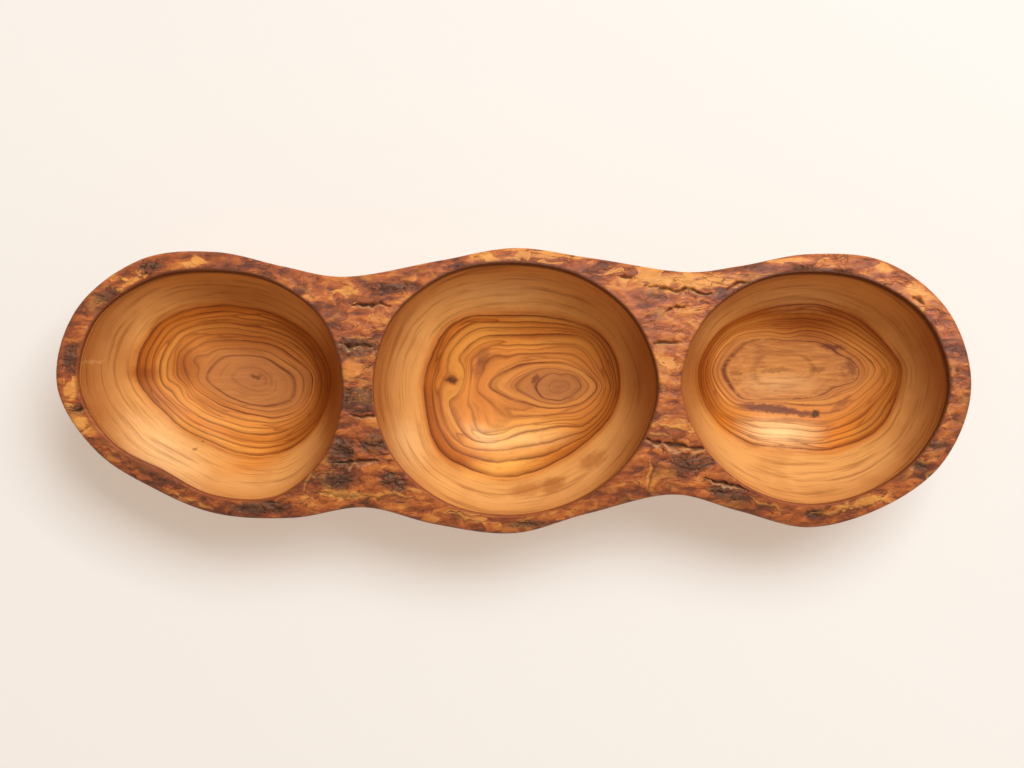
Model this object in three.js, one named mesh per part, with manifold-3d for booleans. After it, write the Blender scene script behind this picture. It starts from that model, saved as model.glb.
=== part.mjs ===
// Olive wood appetizer dish: three bowls carved in a row into one short length of log, bark side up.
// The wood is a single carved piece. The bark that grew on it stays on the rim as a layer of its own.
// Millimetres, +Z up. The origin is under the middle of the dish, on the table.

import * as THREE from "three";
import { mergeVertices, toCreasedNormals } from "three/addons/utils/BufferGeometryUtils.js";
import Module from "manifold-3d";

const wasm = await Module();
wasm.setup();

// Heights
const CREST_HEIGHT = 52; // table to the top of the bark, along the crest of the log
const FLOOR_THICKNESS = 11; // wood left under the deepest point of each bowl
const BARK_THICKNESS = 3; // bark left on the rim
const BARK_SEAM = 0.3; // clearance between the bark and the wood that carries it

// The log's own surface, which the rim keeps
const LOG_RADIUS = 170; // round of the log, across the dish
const END_DROP = 3; // fall of the crest from the middle of the dish to either end
const SWELL_HEIGHT = 0.7; // the log's gentle lumps, above and below its true round
const SWELL_LENGTH = 96; // one lump to the next, along the log
const SWELL_WIDTH = 130; // one lump to the next, across the log

// The outside wall, which rolls under to a flat base
const BASE_INSET = 27; // rim outline to base outline, seen from above
const BASE_ROLL = 68; // degrees of arc from the upright rim to where the base cuts it off

// The bowls' shared section: 2 is an ellipsoid, and more is steeper in the wall and flatter in the floor
const BOWL_FULLNESS = 2.4;
const FLOOR_FLAT = 87; // degrees of arc from the mouth to where the floor turns level

// Plan sizes
const LEFT_RADIUS = 48; // each bowl's mouth, on average
const MIDDLE_RADIUS = 53;
const RIGHT_RADIUS = 49;
const LEFT_BRIDGE = 12.3; // rim left between two mouths, along the row
const RIGHT_BRIDGE = 9.5;
const RIM_WIDTH = 9; // rim outside the mouths, on average
const LEFT_WAIST = 92.8; // width of the dish where it is drawn in between two bowls
const RIGHT_WAIST = 89.1;

// The freehand shape of each bowl: how far its middle lies to the back of the row's line,
// its mouth's reach in radii at even turns, anticlockwise from +X, and the rim outside it in rim widths,
// turn by turn on each stretch of the outline that goes round the bowl.
const LEFT_BOWL = {
  radius: LEFT_RADIUS,
  back: 2.9,
  mouth: [1.075, 1.05, 0.985, 0.95, 1.025, 1.11, 1.09, 0.95, 0.825, 0.925, 1.07, 1.09],
  endRim: [0.87, 0.93, 1.12, 1.01, 0.99, 0.84, 0.94, 0.83, 1.21],
};
const MIDDLE_BOWL = {
  radius: MIDDLE_RADIUS,
  back: 1.4,
  mouth: [1.055, 1.025, 0.975, 0.945, 0.995, 1.05, 1.05, 1.04, 1.005, 0.965, 0.965, 1.005],
  frontRim: [1.12, 0.85, 0.79],
  backRim: [1.03, 0.77, 0.75],
};
const RIGHT_BOWL = {
  radius: RIGHT_RADIUS,
  back: 1.8,
  mouth: [1.095, 1.075, 0.995, 0.945, 0.975, 1.03, 1.065, 0.995, 0.96, 0.965, 0.975, 1.03],
  endRim: [1.16, 1.1, 0.96, 1.07, 1.01, 1.08, 1.18, 0.91, 0.97],
};

// The freehand shape of each waist: how far its middle lies to the back of the row's line,
// and where the outline is narrowest on its front and back, to the right of the bridge's middle.
const LEFT_DRAW = { width: LEFT_WAIST, back: -0.1, frontShift: 2.1, backShift: -7.1 };
const RIGHT_DRAW = { width: RIGHT_WAIST, back: 3.5, frontShift: 2.6, backShift: 8.4 };

// Facets
const RIM_FACETS = 108;
const WALL_STEPS = 9;
const MOUTH_FACETS = 54;
const BOWL_STEPS = 9;
const CREST_CELL = 12; // the log surface's grid
const CREASE = THREE.MathUtils.degToRad(35);

// Cutting tools reach this far past what they cut
const OVERCUT = 6;

// A closed smooth curve through points in plan.
function closedCurve(points) {
  return new THREE.CatmullRomCurve3(
    points.map(([x, y]) => new THREE.Vector3(x, y, 0)),
    true,
    "centripetal",
  );
}

// The first of a closed curve's evenly spaced points is also its last, which is dropped.
function ringOf(curve, facets) {
  return curve.getSpacedPoints(facets).slice(0, facets);
}

// How far a bowl's mouth reaches from its middle at one of its turns.
function reach({ radius, mouth }, turn) {
  return radius * mouth[turn % mouth.length];
}

// A point of the plan at one of a bowl's turns, some way outside its mouth.
function pointOutside(bowl, turn, distance) {
  const angle = (2 * Math.PI * turn) / bowl.mouth.length;
  const radius = reach(bowl, turn) + distance;
  const [x, y] = bowl.centre;
  return [x + radius * Math.cos(angle), y + radius * Math.sin(angle)];
}

function mouthRing(bowl) {
  const points = bowl.mouth.map((_, turn) => pointOutside(bowl, turn, 0));
  return ringOf(closedCurve(points), MOUTH_FACETS);
}

// The turns of a bowl that face the right, back, left and front of the dish.
const facingRight = ({ mouth }) => mouth.length;
const facingBack = ({ mouth }) => mouth.length / 4;
const facingLeft = ({ mouth }) => mouth.length / 2;
const facingFront = ({ mouth }) => (mouth.length * 3) / 4;

// The outline's points on one stretch round a bowl, as many before the turn it faces as after.
function rimPoints(bowl, facing, widths) {
  const first = facing(bowl) - (widths.length - 1) / 2;
  return widths.map((width, i) => pointOutside(bowl, first + i, width * RIM_WIDTH));
}

// The bowls stand in a row, a bridge apart.
const reachLeft = (bowl) => reach(bowl, facingLeft(bowl));
const reachRight = (bowl) => reach(bowl, facingRight(bowl));
const placed = (bowl, x) => ({ ...bowl, centre: [x, bowl.back] });
const leftEdge = -reachLeft(MIDDLE_BOWL);
const rightEdge = reachRight(MIDDLE_BOWL);
const left = placed(LEFT_BOWL, leftEdge - LEFT_BRIDGE - reachRight(LEFT_BOWL));
const middle = placed(MIDDLE_BOWL, 0);
const right = placed(RIGHT_BOWL, rightEdge + RIGHT_BRIDGE + reachLeft(RIGHT_BOWL));

function waistPoints({ width, back, frontShift, backShift }, bridgeMiddle) {
  return {
    front: [bridgeMiddle + frontShift, back - width / 2],
    back: [bridgeMiddle + backShift, back + width / 2],
  };
}

// The dish's outline in plan, anticlockwise: the left end, the front, the right end and the back.
function rimOutline() {
  const leftWaist = waistPoints(LEFT_DRAW, leftEdge - LEFT_BRIDGE / 2);
  const rightWaist = waistPoints(RIGHT_DRAW, rightEdge + RIGHT_BRIDGE / 2);
  return closedCurve([
    ...rimPoints(left, facingLeft, left.endRim),
    leftWaist.front,
    ...rimPoints(middle, facingFront, middle.frontRim),
    rightWaist.front,
    ...rimPoints(right, facingRight, right.endRim),
    rightWaist.back,
    ...rimPoints(middle, facingBack, middle.backRim),
    leftWaist.back,
  ]);
}

// Inward normals of an anticlockwise ring in plan.
function inwardNormals(ring) {
  return ring.map((_, i) => {
    const before = ring[(i + ring.length - 1) % ring.length];
    const after = ring[(i + 1) % ring.length];
    return new THREE.Vector3(before.y - after.y, after.x - before.x, 0).normalize();
  });
}

// A closed solid through a stack of anticlockwise rings, lowest first, with flat ends.
function loft(rings) {
  const around = rings[0].length;
  const corner = (level, i) => level * around + (i % around);
  const indices = [];
  for (let level = 0; level + 1 < rings.length; level++) {
    for (let i = 0; i < around; i++) {
      const [a, b] = [corner(level, i), corner(level, i + 1)];
      const [c, d] = [corner(level + 1, i), corner(level + 1, i + 1)];
      indices.push(a, b, d, a, d, c);
    }
  }
  const cap = (level) => THREE.ShapeUtils.triangulateShape(rings[level], []);
  const top = rings.length - 1;
  cap(0).forEach(([a, b, c]) => indices.push(corner(0, c), corner(0, b), corner(0, a)));
  cap(top).forEach((triangle) => indices.push(...triangle.map((i) => corner(top, i))));
  const geometry = new THREE.BufferGeometry().setFromPoints(rings.flat());
  geometry.setIndex(indices);
  return geometry;
}

function solidOf(geometry) {
  geometry.deleteAttribute("normal");
  geometry.deleteAttribute("uv");
  const merged = mergeVertices(geometry);
  const vertProperties = merged.getAttribute("position").array;
  const triVerts = new Uint32Array(merged.index.array);
  return new wasm.Manifold(new wasm.Mesh({ numProp: 3, vertProperties, triVerts }));
}

function geometryOf(solid) {
  const { vertProperties, triVerts } = solid.getMesh();
  const geometry = new THREE.BufferGeometry();
  geometry.setAttribute("position", new THREE.BufferAttribute(vertProperties, 3));
  geometry.setIndex(new THREE.BufferAttribute(triVerts, 1));
  return toCreasedNormals(geometry, CREASE);
}

// The blank: the outline's wall, an arc that rolls under to the flat base, carried up past the crest.
function blank(outline) {
  const ring = ringOf(outline, RIM_FACETS);
  const inward = inwardNormals(ring);
  const roll = THREE.MathUtils.degToRad(BASE_ROLL);
  const level = (inset, z) =>
    ring.map((point, i) => point.clone().addScaledVector(inward[i], inset).setZ(z));
  const rings = [];
  for (let step = WALL_STEPS; step >= 0; step--) {
    const arc = (roll * step) / WALL_STEPS;
    const inset = (BASE_INSET * (1 - Math.cos(arc))) / (1 - Math.cos(roll));
    const height = CREST_HEIGHT * (1 - Math.sin(arc) / Math.sin(roll));
    rings.push(level(inset, height));
  }
  rings.push(level(0, CREST_HEIGHT + SWELL_HEIGHT + OVERCUT));
  return solidOf(loft(rings));
}

// One bowl's hollow: the mouth drawn in to a level floor, and carried up past the crest.
function hollow(bowl) {
  const mouth = mouthRing(bowl);
  const centre = new THREE.Vector3(...bowl.centre, 0);
  const depth = CREST_HEIGHT - FLOOR_THICKNESS;
  const level = (share, z) => mouth.map((point) => centre.clone().lerp(point, share).setZ(z));
  const rings = [];
  for (let step = BOWL_STEPS; step >= 0; step--) {
    const arc = THREE.MathUtils.degToRad((FLOOR_FLAT * step) / BOWL_STEPS);
    const share = Math.cos(arc) ** (2 / BOWL_FULLNESS);
    const sunk = Math.sin(arc) ** (2 / BOWL_FULLNESS);
    rings.push(level(share, CREST_HEIGHT - depth * sunk));
  }
  rings.push(level(1, CREST_HEIGHT + SWELL_HEIGHT + OVERCUT));
  return solidOf(loft(rings));
}

// Height of the log's surface over a point of the plan, measured from the plan's centre.
function crest(x, y, halfLength) {
  const round = LOG_RADIUS - Math.sqrt(LOG_RADIUS ** 2 - y ** 2);
  const fall = END_DROP * (x / halfLength) ** 2;
  const along = Math.sin((2 * Math.PI * x) / SWELL_LENGTH);
  const across = Math.cos((2 * Math.PI * y) / SWELL_WIDTH);
  return CREST_HEIGHT - round - fall + SWELL_HEIGHT * along * across;
}

// Everything under the log's surface, or under a surface some way below it.
function underCrest(centre, size, below) {
  const length = size.x + 2 * OVERCUT;
  const width = size.y + 2 * OVERCUT;
  const cells = [length, width].map((side) => Math.ceil(side / CREST_CELL));
  const block = new THREE.BoxGeometry(length, width, 2 * OVERCUT, ...cells, 1);
  const position = block.getAttribute("position");
  for (let i = 0; i < position.count; i++) {
    if (position.getZ(i) > 0) {
      position.setZ(i, crest(position.getX(i), position.getY(i), size.x / 2) - below);
    }
  }
  block.translate(centre.x, centre.y, 0);
  return solidOf(block);
}

// A named mesh of one material.
function piece(name, solid, material) {
  const mesh = new THREE.Mesh(geometryOf(solid), material);
  mesh.name = name;
  return mesh;
}

const outline = rimOutline();
const plan = new THREE.Box3().setFromPoints(ringOf(outline, RIM_FACETS));
const planSize = plan.getSize(new THREE.Vector3());
const planCentre = plan.getCenter(new THREE.Vector3());

const sawn = blank(outline);
const hollows = [left, middle, right].map(hollow);
const carve = (solid) => hollows.reduce((rest, bowl) => rest.subtract(bowl), solid);
const underBark = (below) => underCrest(planCentre, planSize, below);

const wood = carve(sawn.intersect(underBark(BARK_THICKNESS + BARK_SEAM)));
const bark = carve(sawn.intersect(underBark(0)).subtract(underBark(BARK_THICKNESS)));

const oiledOlive = new THREE.MeshStandardMaterial({ color: 0xc8854a, roughness: 0.45, metalness: 0 });
const oiledBark = new THREE.MeshStandardMaterial({ color: 0x7a4524, roughness: 0.6, metalness: 0 });

const pieces = new THREE.Group();
pieces.position.set(-planCentre.x, -planCentre.y, 0);
pieces.add(piece("carved_body", wood, oiledOlive), piece("bark_rim", bark, oiledBark));

const dish = new THREE.Group();
dish.name = "appetizer_dish";
dish.add(pieces);

export default dish;
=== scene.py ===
# %% [markdown]
# # An olive wood appetizer dish
# Three bowls are carved in a row into one short length of olive log, and the bark stays on the rim.
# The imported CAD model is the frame: it says where the dish stands and how large it is.
# This lesson rebuilds its two pieces as fine meshes on the same sizes, gives the wood its growth rings
# and the bark its flakes, and sets both under a soft studio light.

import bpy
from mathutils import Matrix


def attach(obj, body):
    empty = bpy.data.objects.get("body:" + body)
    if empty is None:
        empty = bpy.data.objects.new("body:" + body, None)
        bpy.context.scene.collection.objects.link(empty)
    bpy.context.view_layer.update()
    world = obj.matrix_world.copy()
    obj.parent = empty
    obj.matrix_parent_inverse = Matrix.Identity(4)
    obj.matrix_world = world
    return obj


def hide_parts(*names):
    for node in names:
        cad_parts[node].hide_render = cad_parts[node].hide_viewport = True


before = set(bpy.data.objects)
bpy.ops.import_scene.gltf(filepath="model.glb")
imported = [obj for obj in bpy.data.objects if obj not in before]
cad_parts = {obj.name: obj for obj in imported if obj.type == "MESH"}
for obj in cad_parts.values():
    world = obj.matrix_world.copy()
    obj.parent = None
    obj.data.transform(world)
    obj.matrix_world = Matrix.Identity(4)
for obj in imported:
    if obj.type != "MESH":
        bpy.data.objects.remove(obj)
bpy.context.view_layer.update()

# %% [markdown]
# ## The camera
# The dish is seen from straight above, so the picture is almost a plan of it.
# The lens still stands only an arm's length away, and that nearness shows a little of the bowls' far walls.
# A plain camera that looks down needs no turning: Blender's cameras look along -Z with +Y up.

# %% Camera over the dish
import math

import bmesh
import bpy
import numpy as np
from mathutils import Vector, kdtree, noise
from mathutils.geometry import delaunay_2d_cdt

MM = 0.001
CREST_HEIGHT = 52 * MM  # table to the top of the bark
LENS_ABOVE_CREST = 600 * MM
VIEW_WIDTH = 401 * MM  # what the picture takes in at the height of the crest
SENSOR_WIDTH = 36  # millimetres, as Blender counts sensors and lenses
CAMERA_ASIDE = (-0.84 * MM, 2.68 * MM)  # from over the dish's middle

lens = bpy.data.cameras.new("overhead")
lens.sensor_width = SENSOR_WIDTH
lens.lens = SENSOR_WIDTH * LENS_ABOVE_CREST / VIEW_WIDTH
camera = bpy.data.objects.new("overhead", lens)
camera.location = (*CAMERA_ASIDE, CREST_HEIGHT + LENS_ABOVE_CREST)
bpy.context.scene.collection.objects.link(camera)
bpy.context.scene.camera = camera
print(f"lens {lens.lens:.1f} mm, {camera.location.z:.3f} m above the table")

# %% [markdown]
# ## The plan of the dish
# A carver drew this shape freehand: three mouths that are nearly round, a rim of uneven width, and a waist
# between each two bowls. The numbers are the ones that the CAD model uses.
# Each mouth is given by its reach at twelve even turns from +X, as shares of its radius, and a smooth
# closed curve runs through those points. The outline is given by the width of the rim outside them.

# %% Sizes of the plan
TURNS = 12
RIM_WIDTH = 9 * MM
LEFT_BRIDGE = 12.3 * MM  # rim left between two mouths
RIGHT_BRIDGE = 9.5 * MM
LEFT_BOWL = {
    "radius": 48 * MM,
    "back": 2.9 * MM,  # towards +Y from the line of the row
    "mouth": [1.075, 1.05, 0.985, 0.95, 1.025, 1.11, 1.09, 0.95, 0.825, 0.925, 1.07, 1.09],
    "end_rim": [0.87, 0.93, 1.12, 1.01, 0.99, 0.84, 0.94, 0.83, 1.21],
}
MIDDLE_BOWL = {
    "radius": 53 * MM,
    "back": 1.4 * MM,
    "mouth": [1.055, 1.025, 0.975, 0.945, 0.995, 1.05, 1.05, 1.04, 1.005, 0.965, 0.965, 1.005],
    "front_rim": [1.12, 0.85, 0.79],
    "back_rim": [1.03, 0.77, 0.75],
}
RIGHT_BOWL = {
    "radius": 49 * MM,
    "back": 1.8 * MM,
    "mouth": [1.095, 1.075, 0.995, 0.945, 0.975, 1.03, 1.065, 0.995, 0.96, 0.965, 0.975, 1.03],
    "end_rim": [1.16, 1.1, 0.96, 1.07, 1.01, 1.08, 1.18, 0.91, 0.97],
}
LEFT_WAIST = {"width": 92.8 * MM, "back": -0.1 * MM, "front_shift": 2.1 * MM, "back_shift": -7.1 * MM}
RIGHT_WAIST = {"width": 89.1 * MM, "back": 3.5 * MM, "front_shift": 2.6 * MM, "back_shift": 8.4 * MM}
BACK_TURN, LEFT_TURN, FRONT_TURN, RIGHT_TURN = TURNS // 4, TURNS // 2, TURNS * 3 // 4, TURNS
CURVE_STEPS = 60


def run_along(points):
    """How far along a line of points each of them lies."""
    return np.concatenate([[0], np.cumsum(np.linalg.norm(np.diff(points, axis=0), axis=1))])


def closed_curve(points, samples):
    """Evenly spaced points on a smooth closed curve, a centripetal Catmull-Rom, through the given ones."""
    here = np.asarray(points, float)
    before, after, beyond = np.roll(here, 1, 0), np.roll(here, -1, 0), np.roll(here, -2, 0)
    first, second, third = (
        np.sqrt(np.linalg.norm(b - a, axis=1))[:, None]
        for a, b in ((before, here), (here, after), (after, beyond))
    )
    leave = (here - before) / first - (after - before) / (first + second) + (after - here) / second
    arrive = (after - here) / second - (beyond - here) / (second + third) + (beyond - after) / third
    u = np.linspace(0, 1, CURVE_STEPS, endpoint=False)[:, None, None]
    fine = (2 * u**3 - 3 * u**2 + 1) * here + (u**3 - 2 * u**2 + u) * leave * second
    fine = fine + (3 * u**2 - 2 * u**3) * after + (u**3 - u**2) * arrive * second
    fine = fine.transpose(1, 0, 2).reshape(-1, 2)
    loop = np.vstack([fine, fine[:1]])
    run = run_along(loop)
    at = np.linspace(0, run[-1], samples, endpoint=False)
    return np.column_stack([np.interp(at, run, loop[:, axis]) for axis in (0, 1)])


# %% Place the bowls and draw the outline
def reach(bowl, turn):
    return bowl["radius"] * bowl["mouth"][turn % TURNS]


def outside(bowl, turn, distance):
    angle = 2 * math.pi * turn / TURNS
    radius = reach(bowl, turn) + distance
    return (bowl["x"] + radius * math.cos(angle), bowl["back"] + radius * math.sin(angle))


def rim_points(bowl, facing, widths):
    first = facing - (len(widths) - 1) // 2
    return [outside(bowl, first + i, width * RIM_WIDTH) for i, width in enumerate(widths)]


def waist_points(waist, bridge_middle):
    front = (bridge_middle + waist["front_shift"], waist["back"] - waist["width"] / 2)
    back = (bridge_middle + waist["back_shift"], waist["back"] + waist["width"] / 2)
    return front, back


left_edge = -reach(MIDDLE_BOWL, LEFT_TURN)
right_edge = reach(MIDDLE_BOWL, RIGHT_TURN)
MIDDLE_BOWL["x"] = 0
LEFT_BOWL["x"] = left_edge - LEFT_BRIDGE - reach(LEFT_BOWL, RIGHT_TURN)
RIGHT_BOWL["x"] = right_edge + RIGHT_BRIDGE + reach(RIGHT_BOWL, LEFT_TURN)
left_front, left_back = waist_points(LEFT_WAIST, left_edge - LEFT_BRIDGE / 2)
right_front, right_back = waist_points(RIGHT_WAIST, right_edge + RIGHT_BRIDGE / 2)
OUTLINE = [
    *rim_points(LEFT_BOWL, LEFT_TURN, LEFT_BOWL["end_rim"]),
    left_front,
    *rim_points(MIDDLE_BOWL, FRONT_TURN, MIDDLE_BOWL["front_rim"]),
    right_front,
    *rim_points(RIGHT_BOWL, RIGHT_TURN, RIGHT_BOWL["end_rim"]),
    right_back,
    *rim_points(MIDDLE_BOWL, BACK_TURN, MIDDLE_BOWL["back_rim"]),
    left_back,
]
BOWLS = [LEFT_BOWL, MIDDLE_BOWL, RIGHT_BOWL]
OUTLINE_SAMPLES = 1080

drawn = closed_curve(OUTLINE, OUTLINE_SAMPLES)
plan_centre = (drawn.min(axis=0) + drawn.max(axis=0)) / 2
half_length = np.ptp(drawn[:, 0]) / 2
for bowl in BOWLS:
    bowl["centre"] = np.array([bowl["x"], bowl["back"]]) - plan_centre
print(f"outline {2 * half_length / MM:.1f} mm long and {np.ptp(drawn[:, 1]) / MM:.1f} mm wide")


def outline_ring(samples):
    return closed_curve(OUTLINE, samples) - plan_centre


def mouth_ring(bowl, samples):
    return closed_curve([outside(bowl, turn, 0) for turn in range(TURNS)], samples) - plan_centre


# %% [markdown]
# ## The three surfaces
# Three rules shape the dish. The rim keeps the round of the log, the outside wall is an arc that rolls
# under to a flat base, and every bowl has one section, a little steeper in the wall than an ellipse.
# Each rule is a function of place, so every later step can ask it for a height or a distance.

# %% Rules of the rim, the wall and the bowls
LOG_RADIUS = 170 * MM
END_DROP = 3 * MM  # fall of the crest towards either end
SWELL_HEIGHT = 0.7 * MM  # the log's gentle lumps
SWELL_LENGTH = 96 * MM
SWELL_WIDTH = 130 * MM
BASE_INSET = 27 * MM
BASE_ROLL = math.radians(68)
BOWL_DEPTH = 41 * MM
BOWL_FULLNESS = 2.4
NORMAL_STRETCHES = 108  # stretches round a ring, one for each facet of the CAD model's outline


def crest(plan):
    """Height of the log's surface over points of the plan."""
    x, y = plan[..., 0], plan[..., 1]
    rounding = LOG_RADIUS - np.sqrt(LOG_RADIUS**2 - y**2)
    lumps = np.sin(2 * math.pi * x / SWELL_LENGTH) * np.cos(2 * math.pi * y / SWELL_WIDTH)
    return CREST_HEIGHT - rounding - END_DROP * (x / half_length) ** 2 + SWELL_HEIGHT * lumps


def wall_inset(height):
    """How far inside the outline the outside wall stands at a height."""
    arc = np.arcsin(np.clip(math.sin(BASE_ROLL) * (1 - height / CREST_HEIGHT), 0, 1))
    return BASE_INSET * (1 - np.cos(arc)) / (1 - math.cos(BASE_ROLL))


def bowl_share(height):
    """How far out a bowl's wall stands at a height, as a share of its mouth."""
    sunk = np.clip((CREST_HEIGHT - height) / BOWL_DEPTH, 0, 1)
    return (1 - sunk**BOWL_FULLNESS) ** (1 / BOWL_FULLNESS)


def inward(ring):
    """Unit normals of an anticlockwise ring, pointing into it, each taken over a short stretch."""
    stretch = max(1, round(len(ring) / NORMAL_STRETCHES))
    along = np.roll(ring, -stretch, axis=0) - np.roll(ring, stretch, axis=0)
    across = np.column_stack([-along[:, 1], along[:, 0]])
    return across / np.linalg.norm(across, axis=1)[:, None]


def at_height(plan, height):
    return np.column_stack([plan, np.broadcast_to(height, len(plan))])


# %% [markdown]
# ## Sewing patches into one skin
# A closed piece is made of patches: bands of quads between rings, and flat areas with holes.
# The areas are filled by a constrained Delaunay triangulation over a grid of evenly spread points,
# because long thin triangles would shade badly and could not take the bark's relief.
# Patches that meet share their ring, so welding doubles closes the skin.

# %% A skin of patches
WELD = 0.001 * MM
ROW_RATIO = math.sqrt(3) / 2  # rows of evenly spread points are this share of their spacing apart
EDGE_CLEARANCE = 0.7  # the spread points' least distance to a ring, in spacings


def loop_edges(loops):
    """The start and end of every edge of the loops, as rows of x, y, x, y."""
    return np.concatenate([np.hstack([loop, np.roll(loop, -1, axis=0)]) for loop in loops])


def spread_points(loops, spacing):
    """Points in even rows inside the first loop and outside the others."""
    edges = loop_edges(loops)
    tree = kdtree.KDTree(len(edges))
    for i, edge in enumerate(edges):
        tree.insert((edge[0], edge[1], 0), i)
    tree.balance()
    rows = np.arange(edges[:, 1].min() + spacing / 2, edges[:, 1].max(), spacing * ROW_RATIO)
    kept = []
    for row, y in enumerate(rows):
        x0, y0, x1, y1 = edges[(edges[:, 1] > y) != (edges[:, 3] > y)].T
        crossings = np.sort(x0 + (y - y0) * (x1 - x0) / (y1 - y0))
        for enter, leave in crossings.reshape(-1, 2):
            steps = np.arange(math.ceil(enter / spacing), math.ceil(leave / spacing))
            for x in (steps + 0.5 * (row % 2)) * spacing:
                if enter < x < leave and tree.find((x, y, 0))[2] > EDGE_CLEARANCE * spacing:
                    kept.append((x, y))
    return np.array(kept).reshape(-1, 2)


def is_inside(points, loops):
    """Whether each point has an odd number of the loops' edges to its right."""
    x0, y0, x1, y1 = loop_edges(loops).T
    x, y = points[:, :1], points[:, 1:]
    straddles = (y0 > y) != (y1 > y)
    rise = np.where(y1 == y0, 1, y1 - y0)
    return (straddles & (x < x0 + (y - y0) * (x1 - x0) / rise)).sum(axis=1) % 2 == 1


def fill_plan(loops, spacing):
    """Plan points, the loops' own first, and triangles over the area between the loops."""
    rim = np.concatenate(loops)
    points = np.vstack([rim, spread_points(loops, spacing)])
    starts = np.cumsum([0] + [len(loop) for loop in loops])
    edges = [
        (start + i, start + (i + 1) % len(loop))
        for start, loop in zip(starts, loops)
        for i in range(len(loop))
    ]
    flat = [Vector(point) for point in (points / MM).tolist()]
    _, _, faces, origins, _, _ = delaunay_2d_cdt(flat, edges, [], 1, WELD, True)
    first_origin = np.array([origin[0] for origin in origins])
    triangles = first_origin[np.array(faces)]
    on_rim = (triangles < len(rim)).all(axis=1)
    keep = ~on_rim
    keep[on_rim] = is_inside(points[triangles[on_rim]].mean(axis=1), loops)
    return points, triangles[keep]


class Skin:
    """Patches of one closed surface."""

    def __init__(self):
        self.points = []
        self.faces = []
        self.count = 0

    def patch(self, points, faces):
        self.points.append(points)
        self.faces += (np.asarray(faces) + self.count).tolist()
        self.count += len(points)

    def band(self, rings):
        """Quads between rings that have as many points."""
        levels, around = len(rings), len(rings[0])
        corner = np.arange(levels * around).reshape(levels, around)
        following = np.roll(corner, -1, axis=1)
        quads = np.stack([corner[:-1], following[:-1], following[1:], corner[1:]], axis=-1)
        self.patch(np.concatenate(rings), quads.reshape(-1, 4))

    def area(self, loops, height, spacing):
        """A filled area between plan loops, at the height that a rule gives for each point."""
        points, triangles = fill_plan(loops, spacing)
        self.patch(at_height(points, height(points)), triangles)

    def piece(self, name):
        """The welded skin as an object, with its faces outwards."""
        data = bpy.data.meshes.new(name)
        data.from_pydata(np.concatenate(self.points).tolist(), [], self.faces)
        solid = bmesh.new()
        solid.from_mesh(data)
        bmesh.ops.remove_doubles(solid, verts=solid.verts, dist=WELD)
        bmesh.ops.recalc_face_normals(solid, faces=solid.faces)
        open_edges = sum(not edge.is_manifold for edge in solid.edges)
        solid.to_mesh(data)
        solid.free()
        data.shade_smooth()
        made = bpy.data.objects.new(name, data)
        bpy.context.scene.collection.objects.link(made)
        triangles = sum(len(polygon.vertices) - 2 for polygon in data.polygons)
        print(f"{name}: {triangles} triangles, {open_edges} open edges")
        return made


# %% [markdown]
# ## The carved body
# The body is one piece of wood: the outside wall, a flat base with an eased edge, three bowls, and the
# land under the bark. A boolean would do it, but its cuts leave ragged triangles along the mouths.
# Bands that follow the rules directly are even, and their rows run with the walls as a gouge would.

# %% Carve the body
BARK_THICKNESS = 3 * MM
BARK_SEAM = 0.3 * MM  # clearance between the CAD model's bark and wood
WALL_POINTS, WALL_LEVELS = 720, 28
BOWL_POINTS, BOWL_LEVELS = 288, 56
EASE_HEIGHT = 0.9 * MM  # where the wall starts to ease over into the base
EASE_RUN = 2.5 * MM
EASE_STEPS = 5
FLOOR_EYE = 0.02  # the bowl's last ring, as a share of its mouth
BASE_SPACING = 2.5 * MM
LAND_SPACING = 4 * MM
SECTION_STEPS = 2000


def under_bark(plan):
    return crest(plan) - BARK_THICKNESS - BARK_SEAM


def wall_rings():
    """Rings of the outside wall, from the flat base up to the bark."""
    ring = outline_ring(WALL_POINTS)
    normal = inward(ring)
    start = float(wall_inset(EASE_HEIGHT))
    rings = []
    for u in np.linspace(1, 0, EASE_STEPS):
        inset = (1 - u) ** 2 * start + 2 * u * (1 - u) * BASE_INSET + u**2 * (BASE_INSET + EASE_RUN)
        rings.append(at_height(ring + normal * inset, (1 - u) ** 2 * EASE_HEIGHT))
    top = under_bark(ring)
    low_arc, top_arc = (np.arcsin(math.sin(BASE_ROLL) * (1 - z / CREST_HEIGHT)) for z in (EASE_HEIGHT, top))
    for u in np.linspace(0, 1, WALL_LEVELS)[1:]:
        height = CREST_HEIGHT * (1 - np.sin(low_arc + (top_arc - low_arc) * u) / math.sin(BASE_ROLL))
        rings.append(at_height(ring + normal * wall_inset(height)[:, None], height))
    rings[-1][:, 2] = under_bark(rings[-1])
    return rings


def bowl_rings(bowl):
    """Rings of one bowl, from the bark down to the floor, spaced evenly along its section."""
    spokes = mouth_ring(bowl, BOWL_POINTS) - bowl["centre"]
    arc = np.linspace(0, math.pi / 2, SECTION_STEPS)
    section = np.column_stack([np.cos(arc), np.sin(arc)]) ** (2 / BOWL_FULLNESS)
    section *= (bowl["radius"], BOWL_DEPTH)
    run = run_along(section)
    top = CREST_HEIGHT - under_bark(spokes + bowl["centre"])
    top_run = np.interp(top, section[:, 1], run)
    floor_run = np.interp(-FLOOR_EYE * bowl["radius"], -section[:, 0], run)
    rings = []
    for u in np.linspace(0, 1, BOWL_LEVELS):
        along = top_run + (floor_run - top_run) * u
        share = np.interp(along, run, section[:, 0]) / bowl["radius"]
        height = CREST_HEIGHT - np.interp(along, run, section[:, 1])
        rings.append(at_height(bowl["centre"] + spokes * share[:, None], height))
    rings[0][:, 2] = under_bark(rings[0])
    return rings


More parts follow.
